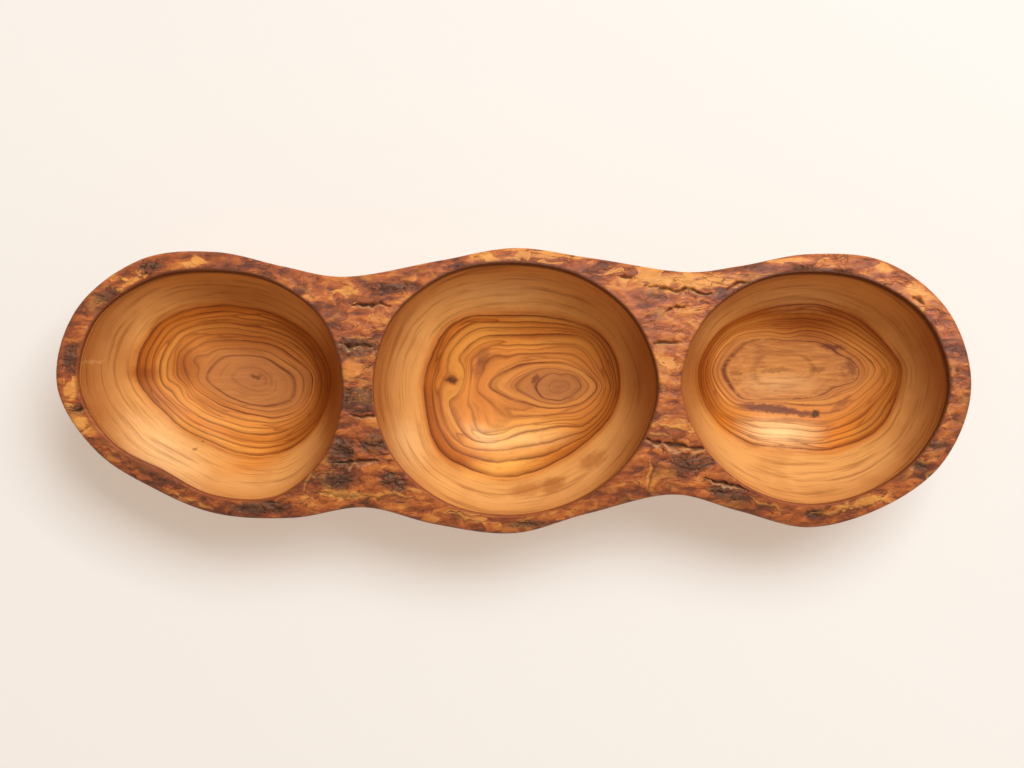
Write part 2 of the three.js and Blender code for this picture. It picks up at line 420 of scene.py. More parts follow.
skin = Skin()
wall = wall_rings()
skin.band(wall)
skin.area([wall[0][:, :2]], lambda plan: np.zeros(len(plan)), BASE_SPACING)
mouths = []
for bowl in BOWLS:
    rings = bowl_rings(bowl)
    skin.band(rings)
    skin.patch(rings[-1], [list(range(BOWL_POINTS))])
    mouths.append(rings[0][:, :2])
skin.area([wall[-1][:, :2], *mouths], under_bark, LAND_SPACING)
carved_body = skin.piece("olive_wood_body")

# %% [markdown]
# ## Growth rings
# A bowl cuts through the log's yearly layers like a map's contours, so each floor shows ovals round an
# "eye", the lowest place that the gouge reached in the layers. They run long because the log does.
# A texture cannot know where these lie, so the layers are given here: for each bowl a few rings, drawn by
# their reach at twelve turns round the eye. Level 5 is the edge of the dark heartwood and level 9 the bark.
# Every vertex gets its level between those rings, and the wood's material draws its lines from that.

# %% Layers of the log at every vertex
HEART_EDGE = 5
BARK_LEVEL = 9
LEFT_RINGS = {
    "eye": (10.6, 3.0),
    1: [17.5, 11.5, 9.5, 9, 10.5, 16, 20, 14, 11.5, 11.5, 14, 19],
    2: [25.5, 18.5, 16, 15, 18, 26, 28, 19.5, 15.5, 15.5, 19.5, 24.5],
    3: [28, 23, 19.5, 19, 24, 33.5, 36, 26.5, 21.5, 21, 23.5, 27.5],
    5: [34, 30.5, 28, 28.5, 34, 44, 46.5, 37, 32, 32.5, 33.5, 33.5],
}
MIDDLE_RINGS = {
    "eye": (19, 0.7),
    1: [8.5, 7.5, 6, 4.5, 6, 7.5, 10, 9, 6.5, 6, 5.5, 6.5],
    2: [15, 11.5, 9.5, 9.5, 11.5, 18.5, 29, 14.5, 10.5, 9, 9.5, 12],
    3.5: [20.5, 19.5, 22.5, 22, 25.5, 39.5, 47, 43, 21.5, 17, 19, 19.5],
    5: [24, 25, 26.5, 28, 34.5, 51.5, 56, 56, 43, 30.5, 24.5, 23.5],
}
RIGHT_RINGS = {
    "eye": (-4.8, 7.4),
    1: [26, 20, 13.5, 12, 14.5, 21.5, 28, 23, 14.5, 12.5, 14, 19.5],
    2: [36.5, 25, 18.5, 14.5, 18, 26, 31.5, 27, 17, 13.5, 16.5, 26],
    3.5: [43.5, 31, 23.5, 20.5, 22.5, 29.5, 34.5, 33, 27, 24.5, 29.5, 37],
    5: [45.5, 36.5, 29.5, 26, 27, 32.5, 37.5, 37, 34, 32.5, 37.5, 44.5],
}
RING_SAMPLES = 360
WALL_CROWDING = 0.6  # under 1, the sapwood's layers close up towards the steep top of the wall
SAPWOOD_DEPTH = 22 * MM  # bark to heartwood on the outside of the log
HEARTWOOD_STEP = 3.8 * MM  # depth of one level of heartwood
CORE_RADIUS = 45 * MM  # round of the layers at the depth of the base
LAYER_SWAY = 4 * MM  # how far the outside's layers wander along the log
SWAY_LENGTH = 170 * MM
SWAY_START = 1  # radians of the wave at the dish's middle


def polar(plan, centre):
    """The direction and the distance of plan points from a centre."""
    offset = plan - centre
    return np.arctan2(offset[:, 1], offset[:, 0]), np.linalg.norm(offset, axis=1)


def reach_round(ring, centre, angle):
    """How far a plan ring lies from a centre inside it, in each direction."""
    return np.interp(angle, *polar(ring, centre), period=2 * math.pi)


def bowl_levels(bowl, rings, plan):
    """Levels over a bowl: even steps between its rings, then closing up towards the bark."""
    eye = bowl["centre"] + np.array(rings["eye"]) * MM
    angle, distance = polar(plan, eye)
    level = np.zeros(len(plan))
    inner_level, inner = 0, np.zeros(len(plan))
    turn_angles = 2 * math.pi * np.arange(TURNS) / TURNS
    turns = np.column_stack([np.cos(turn_angles), np.sin(turn_angles)])
    for ring_level, reaches in list(rings.items())[1:]:
        curve = closed_curve(turns * np.array(reaches)[:, None] * MM, RING_SAMPLES)
        outer = reach_round(curve, np.zeros(2), angle)
        share = np.clip((distance - inner) / (outer - inner), 0, 1)
        level += share * (ring_level - inner_level)
        inner_level, inner = ring_level, outer
    mouth = reach_round(mouth_ring(bowl, RING_SAMPLES), eye, angle)
    share = np.clip((distance - inner) / (mouth - inner), 0, 1)
    return level + (BARK_LEVEL - HEART_EDGE) * (1 - (1 - share) ** WALL_CROWDING)


def outside_levels(points):
    """Levels by depth under the bark, with layers that grow rounder towards the core."""
    x, y = points[:, 0], points[:, 1]
    depth = crest(points) - points[:, 2]
    depth = depth + y**2 / 2 * (1 / CORE_RADIUS - 1 / LOG_RADIUS) * depth / CREST_HEIGHT
    depth = depth + LAYER_SWAY * np.sin(2 * math.pi * x / SWAY_LENGTH + SWAY_START) * depth / CREST_HEIGHT
    sapwood = BARK_LEVEL - (BARK_LEVEL - HEART_EDGE) * depth / SAPWOOD_DEPTH
    heartwood = HEART_EDGE - (depth - SAPWOOD_DEPTH) / HEARTWOOD_STEP
    return np.where(depth < SAPWOOD_DEPTH, sapwood, heartwood)


def at_vertices(piece, name):
    """A vector at every vertex: its place, which Blender calls co, or its normal."""
    vectors = np.empty(len(piece.data.vertices) * 3)
    piece.data.vertices.foreach_get(name, vectors)
    return vectors.reshape(-1, 3)


def store(piece, name, values):
    attribute = piece.data.attributes.new(name, "FLOAT", "POINT")
    attribute.data.foreach_set("value", np.ascontiguousarray(values, np.float32))


def inside_mouth(bowl, points):
    """How far inside a bowl's mouth each point lies in plan. It is less than 0 outside."""
    angle, distance = polar(points[:, :2], bowl["centre"])
    return reach_round(mouth_ring(bowl, RING_SAMPLES), bowl["centre"], angle) - distance


# %% Store the layers and the places that the finish asks for
# The back and right walls of each bowl face away from the key lamp, and shade is painted on them
FAR_DIRECTION = (0.5, 0.85)  # in plan, towards the back and a little to the right
FAR_MIDDLE, FAR_SLOPE, FAR_LEAST = 0.6, 0.7, 0.1
EDGE_LINE = 2.2 * MM  # depth in which the dark line under the bark fades
EDGE_END = 1.2  # how many such depths below the bark it ends
MOUTH_MARGIN = 0.05 * MM  # vertices on the mouth itself count as in the bowl


def painted_shade_side(facing):
    """1 on the walls along the back and the right of a bowl, which face away from the key lamp, and next to
    0 on those along its front: it says where shade is painted.
    """
    return np.clip(FAR_MIDDLE - FAR_SLOPE * facing[:, :2] @ FAR_DIRECTION, FAR_LEAST, 1)


points = at_vertices(carved_body, "co")
levels = outside_levels(points)
carved = np.zeros(len(points))
for bowl, rings in zip(BOWLS, (LEFT_RINGS, MIDDLE_RINGS, RIGHT_RINGS)):
    here = (inside_mouth(bowl, points) > -MOUTH_MARGIN) & (points[:, 2] > (CREST_HEIGHT - BOWL_DEPTH) / 2)
    levels[here] = bowl_levels(bowl, rings, points[here, :2])
    carved[here] = 1
store(carved_body, "layer", levels)
store(carved_body, "carved", carved)
normals = at_vertices(carved_body, "normal")
below_bark = under_bark(points) - points[:, 2]
# The cut fibres at the ends drink more oil, and a dark line shows under the bark, with painted shade that
# makes it darkest on the back and right walls
store(carved_body, "end_grain", np.abs(normals[:, 0]))
store(carved_body, "edge_line", np.clip(EDGE_END - below_bark / EDGE_LINE, 0, 1) * painted_shade_side(normals))
print(f"layers from {levels.min():.1f} to {levels.max():.1f}, {int(carved.sum())} vertices in the bowls")

# %% [markdown]
# ## The bark on the rim
# The bark is the log's own skin, left on the rim as a layer 3 mm thick and worn round at its edges.
# Its top has to hold flakes and cracks, so it is filled with points half a millimetre apart, while its
# hidden underside stays coarse.

# %% Lay the bark on the rim
OUTER_EDGE = 1.5 * MM  # round of the bark's edge along the outline
MOUTH_EDGE = 1.0 * MM  # and along the mouths
SEAM_LEFT = 0.05 * MM  # what is left open of the seam, so that bark and wood meet to the eye
BARK_WEAR = 0.15 * MM  # taken off the log's surface, so that the relief stays under the crest
EDGE_STEPS = 6
SIDE_STEPS = 4
EDGE_SPACING = 0.65 * MM
TOP_SPACING = 0.5 * MM
UNDERSIDE_SPACING = 3 * MM


def bark_top(plan):
    return crest(plan) - BARK_WEAR


def bark_underside(plan):
    return under_bark(plan) + SEAM_LEFT


def edge_rings(at_wall, into_bark, edge):
    """Rings up one side of the bark and over its edge. at_wall gives the wall's plan at a height."""
    foot = at_wall(CREST_HEIGHT)
    low, high = bark_underside(foot), bark_top(foot) - edge
    rings = []
    for u in np.linspace(0, 1, SIDE_STEPS):
        height = low + (high - low) * u
        rings.append(at_height(at_wall(height), height))
    rings[0][:, 2] = bark_underside(rings[0])
    upright = rings[-1][:, :2]
    for bend in np.linspace(0, math.pi / 2, EDGE_STEPS)[1:]:
        plan = upright + into_bark * edge * (1 - math.cos(bend))
        rings.append(at_height(plan, bark_top(plan) - edge * (1 - math.sin(bend))))
    return rings


def ring_samples(ring):
    length = np.linalg.norm(ring - np.roll(ring, 1, axis=0), axis=1).sum()
    return round(length / EDGE_SPACING)


def outline_edge():
    ring = outline_ring(ring_samples(drawn))
    normal = inward(ring)

    def at_wall(height):
        return ring + normal * np.broadcast_to(wall_inset(height), len(ring))[:, None]

    return edge_rings(at_wall, normal, OUTER_EDGE)


def mouth_edge(bowl):
    ring = mouth_ring(bowl, ring_samples(mouth_ring(bowl, RING_SAMPLES)))
    spokes = ring - bowl["centre"]

    def at_wall(height):
        return bowl["centre"] + spokes * np.broadcast_to(bowl_share(height), len(ring))[:, None]

    return edge_rings(at_wall, -inward(ring), MOUTH_EDGE)


skin = Skin()
edges = [outline_edge(), *(mouth_edge(bowl) for bowl in BOWLS)]
for rings in edges:
    skin.band(rings)
skin.area([rings[-1][:, :2] for rings in edges], bark_top, TOP_SPACING)
skin.area([rings[0][:, :2] for rings in edges], bark_underside, UNDERSIDE_SPACING)
bark_rim = skin.piece("bark_rim_skin")

# %% [markdown]
# ## Writing node trees as sums
# A node tree of any size is hard to read as a list of nodes and links. This small class wraps one output
# of a node, so that sums and products of outputs read as in a book and add their Math nodes by themselves.
# Every other kind of node comes from one method, node(), which takes sockets first and settings next.
# Geometry Nodes and shaders share these node types, so the bark's relief and both finishes use it.

# %% A wire that can be added and multiplied
class Wire:
    """One output of a node in a tree."""

    def __init__(self, tree, socket=None):
        self.tree = tree
        self.socket = socket

    def node(self, kind, sockets=(), settings=(), output=0):
        """Adds a node, makes its settings, fills its sockets with values or wires, and gives one output."""
        made = self.tree.nodes.new(kind)
        for name, value in dict(settings).items():
            if name == "stops":
                ramp_stops(made.color_ramp, value)
            else:
                setattr(made, name, value)
        for name, value in dict(sockets).items():
            if isinstance(value, Wire):
                self.tree.links.new(value.socket, made.inputs[name])
            else:
                made.inputs[name].default_value = value
        return Wire(self.tree, made.outputs[output])

    def math(self, operation, first, second=0):
        return self.node("ShaderNodeMath", {0: first, 1: second}, {"operation": operation})

    def __add__(self, other):
        return self.math("ADD", self, other)

    def __sub__(self, other):
        return self.math("SUBTRACT", self, other)

    def __mul__(self, other):
        return self.math("MULTIPLY", self, other)

    def __rtruediv__(self, other):
        return self.math("DIVIDE", other, self)

    def __abs__(self):
        return self.math("ABSOLUTE", self)

    def __pow__(self, other):
        return self.math("POWER", self, other)

    def most(self, other):
        return self.math("MAXIMUM", self, other)

    def rise(self, low, high):
        """0 up to low, 1 from high, and a smooth step between. High may be the smaller one."""
        sockets = {"Value": self, "From Min": low, "From Max": high, "To Min": 0, "To Max": 1}
        return self.node("ShaderNodeMapRange", sockets, {"interpolation_type": "SMOOTHSTEP"})

    def scaled(self, factors):
        """A vector with each axis multiplied by its own factor."""
        return self.node("ShaderNodeVectorMath", {0: self, 1: factors}, {"operation": "MULTIPLY"})

    def moved(self, other):
        return self.node("ShaderNodeVectorMath", {0: self, 1: other}, {"operation": "ADD"})

    def noise(self, size, detail=2.0, roughness=0.5, output=0):
        """Noise over a place in millimetres, with features about as large as size."""
        sockets = {"Vector": self, "Scale": 1 / size, "Detail": detail, "Roughness": roughness}
        return self.node("ShaderNodeTexNoise", sockets, output=output)

    def shaken(self, size, detail, spread):
        """This place moved by noise, so that what is drawn over it wavers. Spread is in millimetres."""
        shake = self.noise(size, detail, output="Color").moved((-0.5, -0.5, -0.5))
        return self.moved(shake.scaled(spread))

    def drawn_out(self, share):
        """This place shortened along the log, so that noise over it is drawn out that way."""
        return self.scaled((share, 1, 1))

    def tint(self, under, over):
        """The colour under where this mask is 0 and over where it is 1."""
        sockets = {0: self, 6: under, 7: over}
        return self.node("ShaderNodeMix", sockets, {"data_type": "RGBA"}, output=2)

    def coat(self, under, coat):
        """The colour under, and a coat on it where this mask is 1. A coat is a colour and its strength."""
        over, strength = coat
        return (self * strength).tint(under, over)


def ramp_stops(ramp, stops):
    """Gives a colour ramp its stops: place and colour."""
    while len(ramp.elements) < len(stops):
        ramp.elements.new(1)
    for element, (place, colour) in zip(ramp.elements, stops):
        element.position = place
        element.color = colour


def paint(red, green, blue):
    """A colour as a picture shows it, 0 to 255, turned to the linear values that a shader takes."""
    shares = [channel / 255 for channel in (red, green, blue)]
    return (*(c / 12.92 if c <= 0.04045 else ((c + 0.055) / 1.055) ** 2.4 for c in shares), 1)


# %% [markdown]
# ## The finish of the wood
# Olive wood is tan at the core, orange towards the edge of the heartwood and honey outside it, and its dark
# lines follow the layers. The oil gives it a satin gloss. The level stored in the mesh is bent by noise
# first, because few layers are as smooth as a drawn ring, and colours, lines and fibres are read off it.
# Noise over level and place, instead of place alone, makes every streak run along its layer.

# %% Colours of the layers
LAYER_COLOURS = [
    (0, paint(176, 112, 66)),
    (1, paint(187, 122, 67)),
    (2, paint(212, 135, 66)),
    (3.3, paint(222, 140, 60)),
    (4.2, paint(222, 137, 54)),
    (4.8, paint(212, 122, 42)),
    (5.1, paint(206, 130, 62)),
    (5.5, paint(218, 156, 86)),
    (7, paint(227, 166, 98)),
    (9, paint(214, 146, 78)),
]
LINE_COLOURS = [
    (0, paint(106, 52, 38)),
    (2, paint(92, 36, 26)),
    (3.5, paint(94, 34, 14)),
    (5, paint(86, 30, 8)),
    (5.6, paint(146, 82, 36)),
    (9, paint(130, 70, 30)),
]
BAND_STRENGTHS = [(0, 0), (0.9, 0.1), (1.2, 0.35), (3, 0.65), (4.9, 0.85), (5.3, 0)]
# Each drawn ring's level, how far its shade reaches inwards, and its strength
DRAWN_RINGS = [
    (0.45, 0.12, 0.3),
    (1, 0.11, 0.95),
    (1.45, 0.2, 0.65),
    (2, 0.3, 0.95),
    (2.5, 0.25, 0.7),
    (3, 0.2, 0.6),
    (3.5, 0.35, 0.85),
    (4.05, 0.25, 0.65),
    (4.5, 0.3, 0.8),
    (5, 0.35, 0.9),
]
RING_EDGE = 0.09  # levels in which a ring ends to either side of its line
LINE_SHADE = 0.72  # strength of the shade beside a line
LINE_FOOT, LINE_MIDDLE, LINE_TOP = 0.485, 0.5, 0.505  # values of a noise across a line in it
FAINTEST_LINE = 0.5  # what is left of a drawn ring where it fades
BAND_LINES, YEAR_LINES, SAPWOOD_LINES = 0.8, 0.25, 0.5  # strengths of the lines that noise draws
YEARS_ASIDE = (300, 0, 0)  # millimetres, so that these lines miss those of the bands
BENDS = [(26, 0.4), (9, 0.14), (2.5, 0.05)]  # size of the noise in mm, and how many levels it moves
BENT_FROM = (0.5, 2.5)  # levels between which the two smaller bends set in
SAPWOOD_FROM = (HEART_EDGE, HEART_EDGE + 0.3)  # levels in which the heartwood passes into it
STREAKED_FROM = (40, 80)  # along the dish in mm: the core is most streaked in the right bowl
LEAST_STREAKS = 0.3
WOOD_ROUGHNESS, ROUGHNESS_SPREAD = 0.36, 0.1
WOOD_BUMP = {"Strength": 0.12, "Distance": 0.2 * MM}
OIL_TINT = paint(255, 220, 180)
OIL_GLOSS = 0.25
# Coats on the wood: colour and strength
BAND_GOLD = (paint(230, 162, 76), 0.8)
BAND_BROWN = (paint(166, 88, 30), 0.7)
CLOUD_BROWN = (paint(176, 106, 48), 0.3)
END_BROWN = (paint(140, 68, 16), 0.55)
STEEP_BROWN = (paint(134, 62, 12), 0.6)
FIBRE_BROWN = (paint(120, 60, 20), 0.4)
STREAK_BROWN = (paint(134, 78, 44), 0.45)
STREAK_GOLD = (paint(224, 156, 88), 0.4)
# the dark line under the bark, darkened on the back and right walls by painted shade
EDGE_LINE_AND_SHADE_BROWN = (paint(100, 50, 18), 0.8)


def new_finish(name):
    """A material, its shader, and a wire in its tree to start from."""
    material = bpy.data.materials.new(name)
    material.use_nodes = True
    tree = material.node_tree
    return material, tree.nodes["Principled BSDF"], Wire(tree)


def connect(shader, socket, wire):
    wire.tree.links.new(wire.socket, shader.inputs[socket])


def stored(start, name):
    return start.node("ShaderNodeAttribute", settings={"attribute_name": name}, output="Fac")


def place_in_mm(start):
    place = start.node("ShaderNodeTexCoord", output="Object")
    return place.scaled((1 / MM, 1 / MM, 1 / MM))


def coordinates(place):
    """The three coordinates of a place as wires."""
    return [place.node("ShaderNodeSeparateXYZ", {0: place}, output=axis) for axis in range(3)]


def by_level(level, stops):
    """A colour that depends on the level alone."""
    shares = [(stop / BARK_LEVEL, colour) for stop, colour in stops]
    return level.node("ShaderNodeValToRGB", {0: level * (1 / BARK_LEVEL)}, {"stops": shares})


def growth(level, place, fineness, drift, detail=2.0):
    """Noise along the layers, with so many features in a level, that change along them by drift per mm."""
    x, y, _ = coordinates(place)
    across = level.node("ShaderNodeCombineXYZ", {0: level * fineness, 1: x * drift, 2: y * drift})
    return level.node("ShaderNodeTexNoise", {"Vector": across, "Scale": 1.0, "Detail": detail})


def mark(place, at, half_size, turn=0, core=0):
    """An oval mark: 1 in its core, a share of the oval, and 0 from its edge on. Sizes are in mm."""
    sockets = {
        "Vector": place,
        "Location": (*at, 0),
        "Rotation": (0, 0, math.radians(turn)),
        "Scale": (*half_size, 1 / MM),
    }
    own = place.node("ShaderNodeMapping", sockets, {"vector_type": "TEXTURE"})
    distance = own.node("ShaderNodeVectorMath", {0: own}, {"operation": "LENGTH"}, output="Value")
    return distance.rise(1, core)


# %% [markdown]
# ## Stains, painted light, knots and smudges
# Some marks are this log's own, and some are painted light. Broad soft marks lie under the lines: amber
# stains along the left of the left and right bowls and round the middle bowl's knot, pale and golden in the
# right bowl's core, orange in places and purple in the middle bowl. Amber on the back and right walls is
# painted shade, golden and pale on the front walls and floors are painted highlights, and pale on the back
# walls of the middle and right bowls is painted light that lifts their shade. Knots, streaks and smudges
# lie over the lines.
# Each is an oval mark in millimetres, and noise frays the place that all of them read.

# %% Marks in the wood
# Each of the next three colours serves both the wood's own stains and painted light
AMBER_AND_SHADE = paint(146, 72, 16)
GOLDEN_AND_HIGHLIGHT = paint(246, 176, 84)
PALE_AND_PAINTED_LIGHT = paint(250, 202, 140)
ORANGE = paint(222, 128, 34)
DARK = paint(74, 38, 22)
PURPLE = paint(106, 56, 44)
BROWN = paint(154, 82, 30)
# Place, half length and half width, turn in degrees, strength, colour
STAINS_AND_PAINTED_LIGHT = [
    ((-153, 7), (9, 5), 0, 0.9, AMBER_AND_SHADE),
    ((-138, 10), (10, 14), 0, 0.7, AMBER_AND_SHADE),
    # painted shade on the left bowl's back wall
    ((-114, 24), (38, 11), -8, 0.6, AMBER_AND_SHADE),
    ((-160, 14), (9, 20), 0, 0.3, AMBER_AND_SHADE),
    # the next two: painted highlights on the front left walls of the left and middle bowls
    ((-142, -26), (32, 13), -42, 0.9, PALE_AND_PAINTED_LIGHT),
    ((-43, -22), (9, 18), 22, 0.4, PALE_AND_PAINTED_LIGHT),
    # the next three: painted shade on the back and right walls of the left and middle bowls
    ((-115, 38), (36, 9), -4, 0.4, AMBER_AND_SHADE),
    ((-74, 2), (10, 36), 0, 0.9, AMBER_AND_SHADE),
    ((50, 4), (9, 32), 0, 0.3, AMBER_AND_SHADE),
    ((-26, 4.4), (6, 4), 0, 0.6, AMBER_AND_SHADE),
    # painted shade on the middle bowl's back wall
    ((8, 26), (38, 10), -3, 0.5, AMBER_AND_SHADE),
    # the next three: painted highlights on the middle bowl's front floor
    ((-4, -31), (24, 8), 8, 0.9, GOLDEN_AND_HIGHLIGHT),
    ((2, -19), (30, 12), 5, 0.95, GOLDEN_AND_HIGHLIGHT),
    ((4, -20), (28, 8), 6, 0.45, PALE_AND_PAINTED_LIGHT),
    ((16, 1), (24, 10), 0, 0.2, PURPLE),
    # painted highlight on the middle bowl's front left floor
    ((-13, -19), (13, 6), -30, 0.7, PALE_AND_PAINTED_LIGHT),
    # painted light that lifts the shade on the middle bowl's back wall
    ((-2, 42), (36, 10), 0, 0.35, PALE_AND_PAINTED_LIGHT),
    ((78, 5), (10, 20), 0, 0.75, AMBER_AND_SHADE),
    ((71, 0), (8, 28), 0, 0.35, AMBER_AND_SHADE),
    # painted shade on the right bowl's back wall
    ((120, 29), (44, 13), -6, 0.95, AMBER_AND_SHADE),
    # painted highlight on the right bowl's front floor
    ((110, -17.5), (28, 9), -4, 0.95, PALE_AND_PAINTED_LIGHT),
    ((111, 8), (30, 14), 0, 0.22, GOLDEN_AND_HIGHLIGHT),
    ((110, 3), (24, 7), 0, 0.36, PALE_AND_PAINTED_LIGHT),
    ((-108, -30), (20, 7), 6, 0.5, ORANGE),
    ((135, -18), (13, 9), 40, 0.75, ORANGE),
    ((88, -14), (11, 7), -40, 0.6, ORANGE),
    # painted light that lifts the shade on the right bowl's back wall
    ((118, 39), (32, 9), 0, 0.3, PALE_AND_PAINTED_LIGHT),
]
WOOD_MARKS = [
    ((-108.1, 5.7), (3.2, 1.5), -10, 0.6, DARK),
    ((-129.2, -21.3), (1, 0.7), 0, 0.5, DARK),
    ((-131.4, -24.4), (1, 0.7), 0, 0.5, DARK),
    ((-169.1, 11.6), (4.2, 0.8), 12, 0.2, PALE_AND_PAINTED_LIGHT),
    ((-26, 4.4), (4.6, 2.8), -10, 0.7, BROWN),
    ((-26, 4.4), (3.2, 1.8), -10, 0.9, DARK),
    ((9, 5), (3.4, 2), 40, 0.75, PURPLE),
    ((-15, 9), (3, 6), -20, 0.4, PURPLE),
    ((-13, 14), (5, 4), 60, 0.5, PURPLE),
    ((16, -38.6), (7, 3.6), 25, 0.55, BROWN),
    ((5, -41), (9, 3.4), 5, 0.35, BROWN),
    ((32, -28.4), (8, 3.8), 30, 0.5, BROWN),
    ((106, -7.6), (17, 2.4), -5, 0.95, PURPLE),
    ((118, -9.2), (12, 1.8), -8, 0.8, PURPLE),
    ((126, -9.4), (2.2, 1.9), 0, 0.95, DARK),
    ((132.4, 18.2), (7, 1.8), -8, 0.85, PURPLE),
    ((140.5, 10), (2.4, 6), 14, 0.55, PURPLE),
    ((136, -6), (7, 2), 40, 0.4, PURPLE),
    ((109.8, 8.6), (9, 1.6), 4, 0.35, DARK),
    ((126.5, 8.6), (4, 1.6), 0, 0.4, DARK),
    ((92.6, 7.3), (4, 1.4), 0, 0.35, DARK),
]
# Where the layers bulge round a knot: place, half sizes, and by how many levels
BULGES = [
    ((-24, 4), (11, 11), 0.7),
    ((-11, 14), (12, 9), -0.25),
    ((-11, -16), (14, 10), -0.3),
    ((140, 7), (9, 10), -0.6),
    ((-135, 13), (8, 7), -0.4),
    ((-139, 1), (7, 7), 0.35),
]


def marked_wood(colour, place, carved, marks, core):
    """Lays marks over the wood's colour, in the bowls only."""
    frayed = place.shaken(2.5, 2, (3, 3, 0))
    for at, half_size, turn, strength, mark_colour in marks:
        colour = (mark(frayed, at, half_size, turn, core) * carved * strength).tint(colour, mark_colour)
    return colour


# %% Lines along the layers
def bent_level(start, place, carved):
    """The stored level, bent by noise at three sizes, the smaller two outside the core, and by bulges."""
    layer = stored(start, "layer")
    broad, middling, small = ((place.noise(size, 1) - 0.5) * depth for size, depth in BENDS)
    bends = broad + (middling + small) * layer.rise(*BENT_FROM)
    wavy = place.shaken(9, 1, (4, 4, 0))
    for at, half_size, levels in BULGES:
        bends = bends + mark(wavy, at, half_size) * carved * levels
    return abs(layer + bends)


def line_above(value, reach):
    """A line along the places where a noise is at its middle, sharp on one side and shaded on the other."""
    shade = value.rise(LINE_MIDDLE + reach, LINE_MIDDLE) ** 2 * LINE_SHADE
    return shade.most(value.rise(LINE_MIDDLE + reach / 4, LINE_TOP)) * value.rise(LINE_FOOT, LINE_TOP)


def drawn_lines(level, place):
    """Dark rings, each shaded on its inner side, that fade in places."""
    fade = place.noise(20, 2).rise(0.3, 0.6) * (1 - FAINTEST_LINE) + FAINTEST_LINE
    lines = 0
    for ring_level, shade, strength in DRAWN_RINGS:
        past = level - ring_level
        line = (past.rise(-shade, 0) ** 2 * LINE_SHADE).most(past.rise(-RING_EDGE, 0))
        lines = (line * past.rise(RING_EDGE, 0) * strength).most(lines)
    return lines * fade


def dark_lines(place, level, bands, strength, sapwood):
    """All lines: along the bands, between them, in the sapwood, and the drawn rings."""
    years = growth(level, place.moved(YEARS_ASIDE), fineness=2.8, drift=0.03)
    soft = growth(level, place, fineness=3.6, drift=0.03, detail=3).rise(0.5, 0.72)
    lines = line_above(bands, reach=0.11) * strength * BAND_LINES
    lines = lines.most(line_above(years, reach=0.12) * strength * YEAR_LINES)
    lines = lines.most(soft * sapwood * SAPWOOD_LINES)
    return lines.most(drawn_lines(level, place))


# %% Oiled olive wood
def ground_colour(start, place, level, carved, bands, strength, sapwood):
    """The colour under the lines: layers, bands, clouds, end grain, steep heartwood, stains, painted shade
    and painted highlights.
    """
    colour = by_level(level, LAYER_COLOURS)
    colour = (bands.rise(0.5, 0.36) * strength).coat(colour, BAND_GOLD)
    colour = (bands.rise(0.56, 0.7) * strength).coat(colour, BAND_BROWN)
    colour = (place.noise(16, 2).rise(0.45, 0.75) * sapwood).coat(colour, CLOUD_BROWN)
    end_grain = stored(start, "end_grain")
    colour = end_grain.rise(0.45, 1).coat(colour, END_BROWN)
    outer_heart = level.rise(1.5, 4.2) * level.rise(5.3, 4.9) * end_grain.rise(0.05, 0.55)
    colour = outer_heart.coat(colour, STEEP_BROWN)
    return marked_wood(colour, place, carved, STAINS_AND_PAINTED_LIGHT, core=0)


def oiled_olive_wood():
    material, shader, start = new_finish("oiled_olive_wood")
    place = place_in_mm(start)
    carved = stored(start, "carved")
    level = bent_level(start, place, carved)
    strength = by_level(level, [(stop, (share, share, share, 1)) for stop, share in BAND_STRENGTHS])
    bands = growth(level, place, fineness=1.3, drift=0.02, detail=1.5)
    sapwood = level.rise(*SAPWOOD_FROM)
    colour = ground_colour(start, place, level, carved, bands, strength, sapwood)
    lines = dark_lines(place, level, bands, strength, sapwood)
    colour = lines.tint(colour, by_level(level, LINE_COLOURS))

    fibres = growth(level, place, fineness=11, drift=0.06, detail=3)
    colour = fibres.rise(0.5, 0.8).coat(colour, FIBRE_BROWN)
    streaks = place.drawn_out(0.1).noise(1.2, 3)
    streaked = coordinates(place)[0].rise(*STREAKED_FROM) * (1 - LEAST_STREAKS) + LEAST_STREAKS
    core = level.rise(1.3, 0.9) * carved * streaked
    colour = (streaks.rise(0.5, 0.72) * core).coat(colour, STREAK_BROWN)
    colour = (streaks.rise(0.5, 0.3) * core).coat(colour, STREAK_GOLD)
    colour = marked_wood(colour, place, carved, WOOD_MARKS, core=0.4)
    # the dark line under the bark, with painted shade on the back and right walls
    colour = stored(start, "edge_line").coat(colour, EDGE_LINE_AND_SHADE_BROWN)
    connect(shader, "Base Color", colour)
    connect(shader, "Roughness", place.noise(9, 2) * ROUGHNESS_SPREAD + WOOD_ROUGHNESS)
    connect(shader, "Normal", start.node("ShaderNodeBump", {"Height": fibres, **WOOD_BUMP}))
    shader.inputs["Specular IOR Level"].default_value = OIL_GLOSS
    shader.inputs["Specular Tint"].default_value = OIL_TINT
    return material


WOOD = oiled_olive_wood()
carved_body.data.materials.append(WOOD)
print("wood nodes:", len(WOOD.node_tree.nodes))

# %% [markdown]
# ## Marks on the bark
# The bark is rough on the bridges and worn smooth along the ends. Rough and golden places are given
# as ovals in the plan, and cracks and golden seams as short lines that wander, each with a lip on its lower
# side, which is painted shade under a golden seam. Along the mouths the smooth inner bark shows, and a dark
# cut where the gouge went through, with painted shade that makes it darkest on the back and right.
# Each vertex stores how far it lies in all of these.

